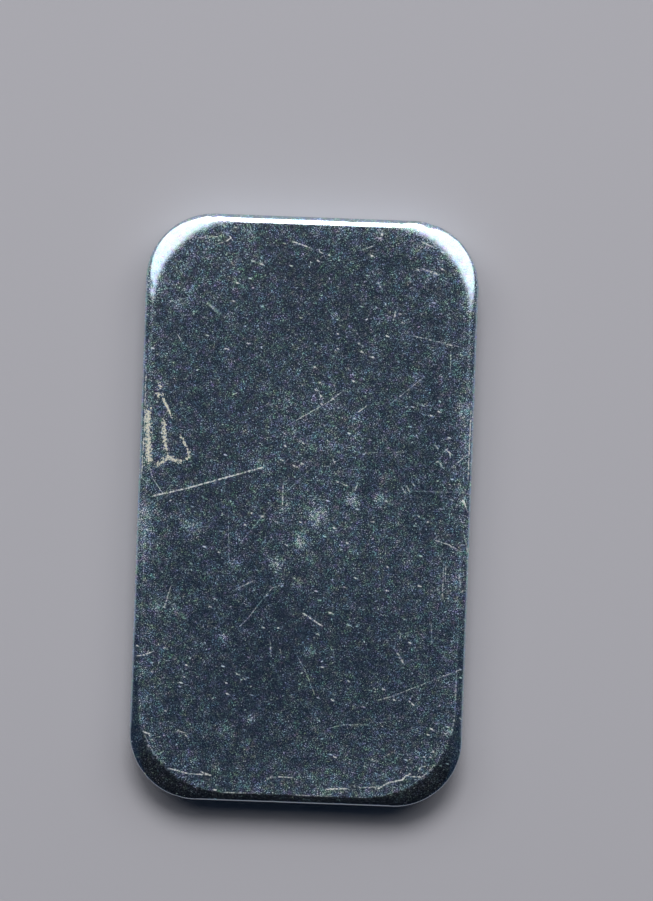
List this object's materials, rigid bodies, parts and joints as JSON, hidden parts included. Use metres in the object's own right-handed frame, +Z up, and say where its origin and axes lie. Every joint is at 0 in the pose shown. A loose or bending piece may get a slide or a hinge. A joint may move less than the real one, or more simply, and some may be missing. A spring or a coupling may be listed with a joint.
{
  "type": "metal ingot",
  "caption": "Flat struck ingot of white metal with rounded corners and rolled edges, its plain mirror faces scuffed and scratched.",
  "frame": {"origin": "under the middle of the ingot, in the plane that it rests on", "axes": "+X across the ingot, +Y along it, +Z up out of the face that the picture shows"},
  "size_m": [0.051, 0.0898, 0.0066],
  "materials": {
    "struck_silver": "struck fine silver, once mirror bright and now hazed by fine scuffs and scratches, blue-grey where it mirrors a dark room"
  },
  "bodies": {
    "root": {"ingot": "struck_silver"}
  },
  "joints": []
}
